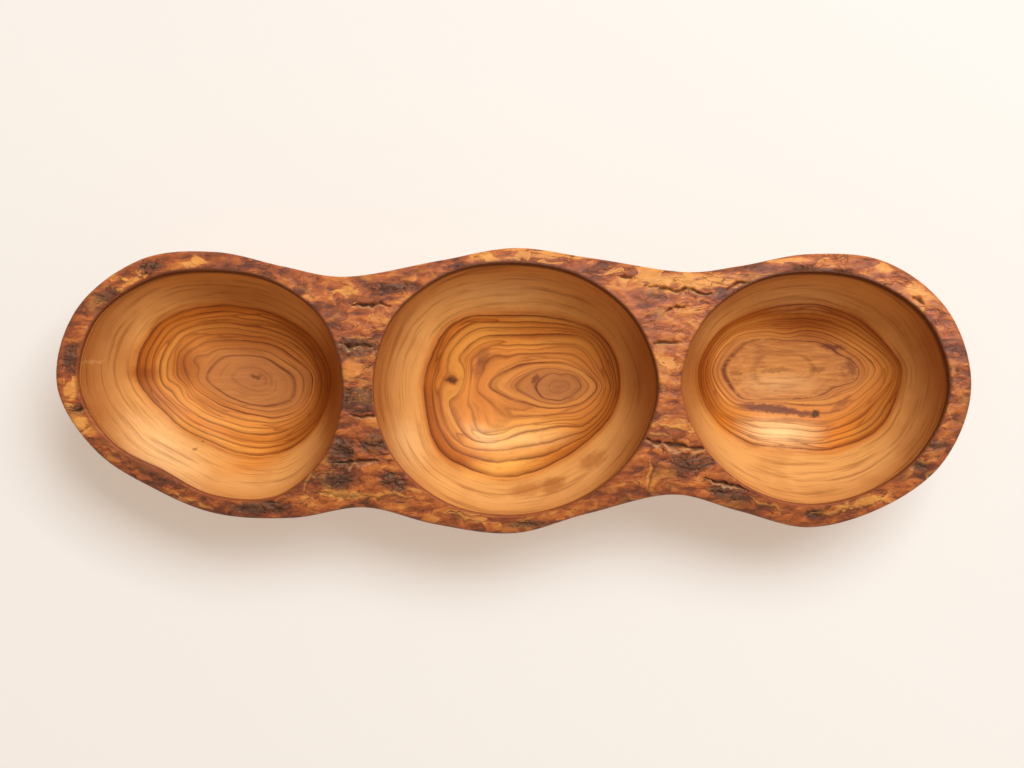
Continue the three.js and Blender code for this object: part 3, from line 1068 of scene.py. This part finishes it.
# %% Rough, cracked and golden places
# Each mark's place, half length and half width in mm, and its turn in degrees
ROUGH_PLACES = [
    (-47, 40.7, 9, 2.5, 4),
    (-62, 17, 9, 4.5, 0),
    (-60, -2, 9, 4, 0),
    (-68, -25, 7, 6, 60),
    (-55, -21, 7, 5, 0),
    (-71, -35.5, 9, 4, 0),
    (-48, -36, 7, 4, -30),
    (-145, 49, 6, 3, 15),
    (-162, 38, 6, 3, 20),
    (-172.5, -7, 3.5, 2, 0),
    (-142, -31, 18, 4, -25),
    (-100, -46.5, 13, 3, 0),
    (70, -28.5, 10, 4.5, 0),
    (84, -40.5, 8, 3, -15),
    (167.5, -21.4, 4.5, 2, 10),
    (160, -30, 3.5, 2.2, 0),
    (114, 49.2, 4, 1.3, 0),
    (127, 47.9, 8, 0.9, -4),
    (119, -48.8, 4, 1.8, 0),
    (6, -53, 9, 1.8, 4),
    (-175, 14, 3, 6, -10),
]
CRACKS = [
    (66, 40, 15, 0.6, -6),
    (64, 32.4, 5, 0.5, 12),
    (60, 19, 6, 0.5, 0),
    (88.6, 42.2, 5, 0.6, 10),
    (63, -21.5, 13, 1.1, -8),
    (44.7, 45.7, 3, 0.7, 0),
    (160, 36.3, 3, 0.8, -20),
    (-57, 34, 9, 0.7, 0),
    (-62, 18, 7, 0.9, -6),
    (-58, -10, 7, 0.7, -5),
    (-62, -28, 9, 0.9, 4),
    (84, -37, 9, 0.7, -14),
    (-170, -7, 4, 0.7, 12),
]
GOLDEN_PLACES = [
    (-152.5, 43, 6.5, 3.2, 35),
    (-126.7, 51.2, 5, 2.6, 0),
    (-174, 0, 3.4, 6, 0),
    (-170.6, -13.5, 3.2, 4.5, -20),
    (-70, -41.6, 12, 1.8, 0),
    (-11.4, 53, 6, 2.6, 0),
    (-13.7, -50.8, 5, 2.2, 0),
    (147.5, 49, 4, 2.2, -30),
    (158, 39.8, 4, 2.4, -40),
    (139, -44, 12, 2.6, 18),
    (60, 11, 5, 2.5, 0),
    (12, 53.5, 16, 2.5, -4),
    (62, 44.5, 24, 4, -2),
    (112, 52, 12, 1.5, 0),
    (-66, 39, 6, 5, 0),
]
GOLDEN_SEAMS = [
    (-60, -40.6, 22, 1.1, -3),
    (-80.5, -33, 7, 0.9, 75),
    (-61, 6.5, 5, 0.7, 8),
    (-62.5, 20.7, 7, 0.6, 0),
    (53, -33, 6.5, 0.8, 85),
    (63, -14, 9, 0.7, -8),
    (57, -17, 5, 0.6, 6),
    (22, -52, 9, 0.6, 10),
    (-20, -50, 8, 0.8, -14),
    (132, -46.5, 14, 0.8, 14),
    (100, -45, 8, 0.7, -24),
    (-128, -43.5, 12, 0.7, -22),
    (-157, -24, 8, 0.6, -42),
]
WIDE_INNER_BARK = (-150, -22, 28, 14, -40)
CUT_WIDTH = 1.3  # the bark's dark cut along the mouths, in widths of its rounded edge
CRACK_WANDER = 1.5  # millimetres to either side
CRACK_REACH = 3 * CRACK_WANDER  # nothing of a crack lies farther from its line
WANDER_LENGTH = 6.0
WANDER_FRACTAL = (1, 2, 2)  # smoothness, step from one octave to the next, and octaves
SWELLS_PER_WANDER = 3
CRACK_SWELL = (0.1, 0.7, 1.5)  # least, usual and greatest share of a crack's width along it
CRACK_LEAST = 0.05  # millimetres that are left of its width at the ends
LIP_OFFSET = 1.8  # widths of the crack from its middle to its lip
INNER_BARK_WIDTH = 0.25 * MM
INNER_BARK_WIDER = 2.5 * MM  # added along the lower left
INNER_BARK_END = 1.5  # widths from the mouth to where the inner bark has faded
INNER_BARK_SMOOTH = 0.8  # how much of the relief the inner bark lacks


def in_mark(plan, mark_row):
    """A plan's points in a mark's own directions, along and across it, in mm."""
    x, y, _, _, turn = mark_row
    cos, sin = math.cos(math.radians(turn)), math.sin(math.radians(turn))
    offset = plan / MM - (x, y)
    return offset @ (cos, sin), offset @ (-sin, cos)


def in_ovals(plan, ovals):
    """How far each plan point lies in any of the ovals: 1 in the middle, fading outwards."""
    strength = np.zeros(len(plan))
    for oval in ovals:
        along, across = in_mark(plan, oval)
        strength = np.maximum(strength, np.exp(-((along / oval[2]) ** 2) - (across / oval[3]) ** 2))
    return strength


def in_cracks(plan, cracks):
    """How far each plan point lies in a crack and in its lower lip. A crack thins out to its ends."""
    strength = np.zeros(len(plan))
    lip = np.zeros(len(plan))
    least, usual, greatest = CRACK_SWELL
    for crack in cracks:
        along, across = in_mark(plan, crack)
        half_length, half_width = crack[2:4]
        near = np.flatnonzero((np.abs(along) < half_length) & (np.abs(across) < CRACK_REACH))
        places = [Vector((a / WANDER_LENGTH, *crack[:2])) for a in along[near].tolist()]
        wander = np.array([noise.fractal(place, *WANDER_FRACTAL) for place in places]) * CRACK_WANDER
        swell = np.array([noise.noise(place * SWELLS_PER_WANDER) for place in places])
        width = half_width * (1 - (along[near] / half_length) ** 2)
        width = width * np.clip(usual + swell, least, greatest) + CRACK_LEAST
        off = (across[near] - wander) / width
        strength[near] = np.maximum(strength[near], np.exp(-(off**2)))
        lip[near] = np.maximum(lip[near], np.exp(-((off + LIP_OFFSET) ** 2)))
    return strength, lip


def inner_bark_width(points):
    """How wide the smooth inner bark shows along the mouths, and along the lower left one more."""
    wide = in_ovals(points[:, :2], [WIDE_INNER_BARK])
    return INNER_BARK_WIDTH + INNER_BARK_WIDER * wide


points = at_vertices(bark_rim, "co")
sunk = bark_top(points) - points[:, 2]
inside = np.array([inside_mouth(bowl, points) for bowl in BOWLS])
clear = -inside.max(axis=0)
cut = np.clip(CUT_WIDTH - clear / MOUTH_EDGE, 0, 1)
to_bowl = np.array([bowl["centre"] for bowl in BOWLS])[inside.argmax(axis=0)] - points[:, :2]
to_bowl /= np.linalg.norm(to_bowl, axis=1)[:, None]
smooth = np.clip(INNER_BARK_END - clear / inner_bark_width(points), 0, 1)
plan = points[:, :2]
crack, lip = in_cracks(plan, CRACKS)
# The lower lip of a golden seam is painted shade
seam, seam_shade = in_cracks(plan, GOLDEN_SEAMS)
bark_marks = {
    "top": np.clip(1 - sunk / OUTER_EDGE, 0, 1) * (1 - INNER_BARK_SMOOTH * smooth),
    # the dark cut along the mouths, with painted shade that makes it darkest on the back and right
    "cut": cut * painted_shade_side(to_bowl),
    "inner_bark": smooth,
    "rough": in_ovals(plan, ROUGH_PLACES),
    "crack": crack,
    "lip": lip,
    "seam": seam,
    "seam_shade": seam_shade,
    "golden": in_ovals(plan, GOLDEN_PLACES),
}
for name, values in bark_marks.items():
    store(bark_rim, name, values)
    print(f"{name}: {int((values > 0.5).sum())} vertices")

# %% [markdown]
# ## Relief of the bark
# Bark flakes off in plates that lie along the log, with furrows between them. Sculpting that by hand would
# take a day, and a bump map would leave the rim's outline smooth, so Geometry Nodes push the skin in.
# Stretched noise gives the plates, the lines where it crosses its middle value give the furrows, and the
# marks say where both run deep. Everything is pushed inwards, so the bark stays inside the log.

# %% Bark relief as a node tree
FURROW_HALF_WIDTH = 0.04  # in values of the noise
FURROW_STRETCH = (1, 1.3, 1.3)
FURROW_OFFSET = (7, 0, 0)  # so that furrows and flakes don't coincide
SEED_STEP = 100  # millimetres along the noise from one seed to the next
RELIEF_INPUTS = {
    "Flake Depth": 0.8 * MM,
    "Furrow Depth": 0.7 * MM,
    "Crack Depth": 1.3 * MM,
    "Flake Length": 8.0,  # millimetres, as the noise counts them
    "Flake Width": 3.2,
    "Seed": 3.0,
}


def named(start, name):
    settings = {"data_type": "FLOAT"}
    return start.node("GeometryNodeInputNamedAttribute", {"Name": name}, settings, output="Attribute")


def keep(geometry, name, value):
    """Stores a value at every point, for the bark's finish to read."""
    sockets = {"Geometry": geometry, "Name": name, "Value": value}
    settings = {"data_type": "FLOAT", "domain": "POINT"}
    return geometry.node("GeometryNodeStoreNamedAttribute", sockets, settings)


def bark_relief():
    """The tree that pushes the bark in, and the identifiers of its inputs by name."""
    tree = bpy.data.node_groups.new("bark relief", "GeometryNodeTree")
    new_socket = tree.interface.new_socket
    new_socket("Geometry", in_out="OUTPUT", socket_type="NodeSocketGeometry")
    new_socket("Geometry", in_out="INPUT", socket_type="NodeSocketGeometry")
    identifiers = {}
    for name in RELIEF_INPUTS:
        identifiers[name] = new_socket(name, in_out="INPUT", socket_type="NodeSocketFloat").identifier
    material = new_socket("Material", in_out="INPUT", socket_type="NodeSocketMaterial")
    identifiers["Material"] = material.identifier
    entry = tree.nodes.new("NodeGroupInput")
    given = {socket.name: Wire(tree, socket) for socket in entry.outputs if socket.name}
    start = Wire(tree)

    place = start.node("GeometryNodeInputPosition").scaled((1 / MM, 1 / MM, 1 / MM))
    seeded = start.node("ShaderNodeCombineXYZ", {0: given["Seed"] * SEED_STEP, 1: 0, 2: 0})
    along, across, up = coordinates(place.shaken(12, 1, (7, 7, 7)).moved(seeded))
    stretched = start.node("ShaderNodeCombineXYZ", {
        0: along * (1 / given["Flake Length"]),
        1: across * (1 / given["Flake Width"]),
        2: up * (1 / given["Flake Width"]),
    })
    flakes = stretched.noise(1, 4, 0.6)
    furrows = abs(stretched.scaled(FURROW_STRETCH).moved(FURROW_OFFSET).noise(1, 2) - 0.5)
    rough = named(start, "rough")
    furrows = furrows.rise(FURROW_HALF_WIDTH, 0) * rough.rise(0.1, 0.7)
    depth = flakes.rise(0.66, 0.3) * given["Flake Depth"] * (rough * 0.6 + 0.4)
    depth = depth + furrows * given["Furrow Depth"] + named(start, "crack") * given["Crack Depth"]
    depth = depth * named(start, "top")
    push = start.node("GeometryNodeInputNormal").scaled((-1, -1, -1))
    push = start.node("ShaderNodeVectorMath", {0: push, "Scale": depth}, {"operation": "SCALE"})
    moved = start.node("GeometryNodeSetPosition", {"Geometry": given["Geometry"], "Offset": push})
    kept = keep(keep(keep(moved, "hollow", depth * (1 / MM)), "flake", flakes), "furrow", furrows)
    whole = start.node("GeometryNodeRealizeInstances", {"Geometry": kept})
    dressed = start.node("GeometryNodeSetMaterial", {"Geometry": whole, "Material": given["Material"]})
    leave = tree.nodes.new("NodeGroupOutput")
    tree.links.new(dressed.socket, leave.inputs["Geometry"])
    return tree, identifiers


# %% [markdown]
# ## The finish of the bark
# Oiled bark is red-brown, golden on the plates that stand highest and in its seams, and dark in its
# furrows, with painted shade along the lower side of each golden seam. Grey-brown fibres and dark scabs lie
# on the roughest patches, and thin dark strokes run along the log. The relief stored its plates and depths,
# so colour and shape agree, and finer noise mottles both.

# %% Oiled bark
# Share of the mottle, and the bark's colour there
BARK_COLOURS = [
    (0.22, paint(70, 40, 28)),
    (0.38, paint(114, 60, 36)),
    (0.52, paint(156, 82, 42)),
    (0.64, paint(186, 104, 50)),
    (0.76, paint(210, 136, 64)),
    (0.92, paint(228, 168, 92)),
]
# Coats on the bark: colour and strength
VEIN_GOLD = (paint(216, 144, 66), 0.45)
STROKE_BROWN = (paint(80, 44, 28), 0.75)
SCAB_BROWN = (paint(84, 50, 34), 0.5)
FIBRE_GREY = (paint(108, 80, 58), 0.75)
PLATE_GOLD = (paint(226, 156, 76), 0.6)
LIP_TAN = (paint(206, 164, 112), 0.7)
INNER_BARK = (paint(150, 78, 42), 0.75)
# the bark's dark cut, and the painted shade laid on it along the back and right of the mouths
CUT_AND_SHADE_BROWN = (paint(88, 42, 16), 0.9)
# fissures and the painted shade under golden seams share this dark colour
FISSURE_AND_SHADE_DARK = paint(58, 34, 20)
FISSURE_AND_SEAM_SHADE_STRENGTHS = {"furrow": 0.85, "crack": 0.95, "seam_shade": 0.6}
SPLIT_STRENGTH = 0.75
PLATE_SHARES = (0.13, 0.34, 0.34)  # plates to the millimetre along and across the log
BARK_ROUGHNESS, HOLLOW_ROUGHNESS = 0.44, 0.3
BARK_BUMP = {"Strength": 0.6, "Distance": 0.4 * MM}
BARK_GLOSS = 0.22


def bark_fissures_and_seam_shade(start, place, bent, rough, plates):
    """Where the bark is split: thin lines, edges of plates, and the furrows and cracks that the mesh
    stores, with painted shade along the lower side of each golden seam.
    """
    splits = abs(bent.drawn_out(0.3).noise(3.2, 2) - 0.5).rise(0.025, 0)
    fissures_and_seam_shade = splits * place.noise(10, 1).rise(0.45, 0.65) * SPLIT_STRENGTH
    edges = start.node("ShaderNodeTexVoronoi", plates, {"feature": "DISTANCE_TO_EDGE"}, output="Distance")
    edges = edges.rise(0.06, 0) * place.noise(6, 1).rise(0.42, 0.65)
    fissures_and_seam_shade = fissures_and_seam_shade.most(edges * (rough * 0.4 + 0.35))
    for name, strength in FISSURE_AND_SEAM_SHADE_STRENGTHS.items():
        fissures_and_seam_shade = fissures_and_seam_shade.most(stored(start, name) * strength)
    return fissures_and_seam_shade


def oiled_bark():
    material, shader, start = new_finish("oiled_bark")
    place = place_in_mm(start)
    bent = place.shaken(7, 1, (7, 5, 5))
    rough, golden, hollow = (stored(start, name) for name in ("rough", "golden", "hollow"))
    flecks = bent.drawn_out(0.4).noise(1.5, 5, 0.62)
    patches = place.drawn_out(0.7).noise(14, 2)
    fibres = place.drawn_out(0.16).noise(0.9, 3, 0.6)
    plates = {"Vector": bent.scaled(PLATE_SHARES), "Scale": 1.0}
    tone = coordinates(start.node("ShaderNodeTexVoronoi", plates, output="Color"))[0] - 0.5
    mottle = tone * 0.2 + stored(start, "flake") * 0.75 + (patches - 0.5) * 0.45 + 0.15
    mottle = mottle + (flecks - 0.5) * (rough * 0.45 + 0.4) + golden * 0.2 - rough * 0.15
    colour = start.node("ShaderNodeValToRGB", {0: mottle}, {"stops": BARK_COLOURS})

    veins = abs(bent.drawn_out(0.6).noise(9, 1) - 0.5).rise(0.07, 0.01)
    colour = (veins * place.noise(17, 1).rise(0.48, 0.62)).coat(colour, VEIN_GOLD)
    strokes = bent.drawn_out(0.22).noise(1.9, 3).rise(0.57, 0.64)
    colour = (strokes * (rough * 0.7 + patches.rise(0.56, 0.42) * 0.6)).coat(colour, STROKE_BROWN)
    scabs = (rough + (flecks - 0.5) * 0.9 + tone * 0.3).rise(0.55, 0.68)
    colour = scabs.coat(colour, SCAB_BROWN)
    colour = (rough.rise(0.2, 0.8) * fibres.rise(0.42, 0.62)).coat(colour, FIBRE_GREY)
    gold = (golden + (flecks - 0.5) * 0.8 + tone * 0.7).rise(0.5, 0.66)
    seams = stored(start, "seam") * flecks.rise(0.25, 0.45)
    colour = gold.most(seams).coat(colour, PLATE_GOLD)
    colour = (stored(start, "lip") * fibres.rise(0.35, 0.6)).coat(colour, LIP_TAN)
    fissures_and_seam_shade = bark_fissures_and_seam_shade(start, place, bent, rough, plates)
    # fissures, and painted shade under the golden seams
    colour = fissures_and_seam_shade.tint(colour, FISSURE_AND_SHADE_DARK)
    colour = stored(start, "inner_bark").coat(colour, INNER_BARK)
    # the dark cut along the mouths, darkest on the back and right where shade is painted
    colour = stored(start, "cut").coat(colour, CUT_AND_SHADE_BROWN)
    connect(shader, "Base Color", colour)
    connect(shader, "Roughness", hollow.rise(0.1, 0.8) * HOLLOW_ROUGHNESS + BARK_ROUGHNESS)
    grain = fibres * (rough * 0.8 + 0.2) + flecks * 0.8 + tone * 0.5 - fissures_and_seam_shade
    connect(shader, "Normal", start.node("ShaderNodeBump", {"Height": grain, **BARK_BUMP}))
    shader.inputs["Specular IOR Level"].default_value = BARK_GLOSS
    return material


BARK = oiled_bark()
relief_tree, relief_sockets = bark_relief()
relief = bark_rim.modifiers.new("relief", "NODES")
relief.node_group = relief_tree
for name, value in RELIEF_INPUTS.items():
    relief[relief_sockets[name]] = value
relief[relief_sockets["Material"]] = BARK
depsgraph = bpy.context.evaluated_depsgraph_get()
carved_bark = bpy.data.meshes.new_from_object(
    bark_rim.evaluated_get(depsgraph), preserve_all_data_layers=True, depsgraph=depsgraph
)
bark_rim.modifiers.clear()
bark_rim.data = carved_bark
hollows = np.empty(len(carved_bark.vertices), np.float32)
carved_bark.attributes["hollow"].data.foreach_get("value", hollows)
print(f"bark pushed in by up to {hollows.max():.2f} mm, {hollows.mean():.2f} mm on average")

# %% [markdown]
# ## Floor, world and light
# A pale floor, a weak warm fill and one broad white lamp from the upper right make the soft light of a
# studio. The floor is half paint, which takes the dish's shadow, and half a plain glow for the camera
# alone, so that the shadow stays as pale as on a lit table and none of that glow falls on the wood. Away
# from the dish the glow takes over, and the floor passes into the backdrop without an edge.
# Rays that go straight from the camera, or mirror, to the world see a pale backdrop instead of the fill.

# %% Studio
FLOOR_SIZE = 12
FLOOR_FADE = (0.28, 0.9)  # metres from the dish
FLOOR_COLOUR = paint(235, 246, 250)
FLOOR_ROUGHNESS = 0.9
FLOOR_GLOSS = 0.1
FLOOR_GLOW = 0.44  # the glow's share beside the dish
GLOW_COLOUR = paint(255, 228, 207)
BACKDROP_COLOUR = paint(250, 242, 233)
FILL_COLOUR = (1, 0.81, 0.64, 1)
FILL_STRENGTH = 0.33
KEY_DIRECTION = Vector((0.32, 0.455, 0.83)).normalized()
KEY_DISTANCE = 2.2
KEY_SIZE = (1.4, 1.0)
KEY_POWER = 50.5


def seen_directly(start):
    """1 for rays from the camera, a mirror or glass, and 0 for the light that things give each other."""
    seen = start.node("ShaderNodeLightPath", output="Is Camera Ray")
    for ray in ("Is Glossy Ray", "Is Transmission Ray"):
        seen = seen.most(start.node("ShaderNodeLightPath", output=ray))
    return seen


bpy.ops.mesh.primitive_plane_add(size=FLOOR_SIZE)
floor = bpy.context.object
floor.name = "floor"
floor_finish, floor_shader, floor_start = new_finish("pale_floor")
floor_shader.inputs["Base Color"].default_value = FLOOR_COLOUR
floor_shader.inputs["Roughness"].default_value = FLOOR_ROUGHNESS
floor_shader.inputs["Specular IOR Level"].default_value = FLOOR_GLOSS
place = floor_start.node("ShaderNodeTexCoord", output="Object")
away = place.node("ShaderNodeVectorMath", {0: place}, {"operation": "LENGTH"}, output="Value")
fade = away.rise(*FLOOR_FADE)
glow_colour = fade.tint(GLOW_COLOUR, BACKDROP_COLOUR)
glow = floor_start.node("ShaderNodeEmission", {"Color": glow_colour, "Strength": 1.0})
painted = Wire(floor_start.tree, floor_shader.outputs[0])
share = seen_directly(floor_start) * (fade * (1 - FLOOR_GLOW) + FLOOR_GLOW)
surface = floor_start.node("ShaderNodeMixShader", {0: share, 1: painted, 2: glow})
floor_start.tree.links.new(surface.socket, floor_start.tree.nodes["Material Output"].inputs["Surface"])
floor.data.materials.append(floor_finish)

world = bpy.data.worlds.new("studio")
world.use_nodes = True
bpy.context.scene.world = world
sky = Wire(world.node_tree)
fill = sky.node("ShaderNodeBackground", {"Color": FILL_COLOUR, "Strength": FILL_STRENGTH})
backdrop = sky.node("ShaderNodeBackground", {"Color": BACKDROP_COLOUR, "Strength": 1.0})
shown = sky.node("ShaderNodeMixShader", {0: seen_directly(sky), 1: fill, 2: backdrop})
world.node_tree.links.new(shown.socket, world.node_tree.nodes["World Output"].inputs["Surface"])

key = bpy.data.lights.new("key", "AREA")
key.shape = "RECTANGLE"
key.size, key.size_y = KEY_SIZE
key.energy = KEY_POWER
key_lamp = bpy.data.objects.new("key", key)
key_lamp.location = KEY_DIRECTION * KEY_DISTANCE
key_lamp.rotation_euler = KEY_DIRECTION.to_track_quat("Z", "Y").to_euler()
bpy.context.scene.collection.objects.link(key_lamp)
bpy.context.scene.view_settings.view_transform = "Standard"
print(f"key lamp {key_lamp.location.length:.1f} m away")

# %% [markdown]
# ## Back to the frame
# Each piece stands for its CAD node, which is hidden, and rides on the one body that the dish has.

# %% Hand the pieces to the frame
for piece, node, slot in ((carved_body, "carved_body", "olive_wood"), (bark_rim, "bark_rim", "bark")):
    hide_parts(node)
    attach(piece, "root")
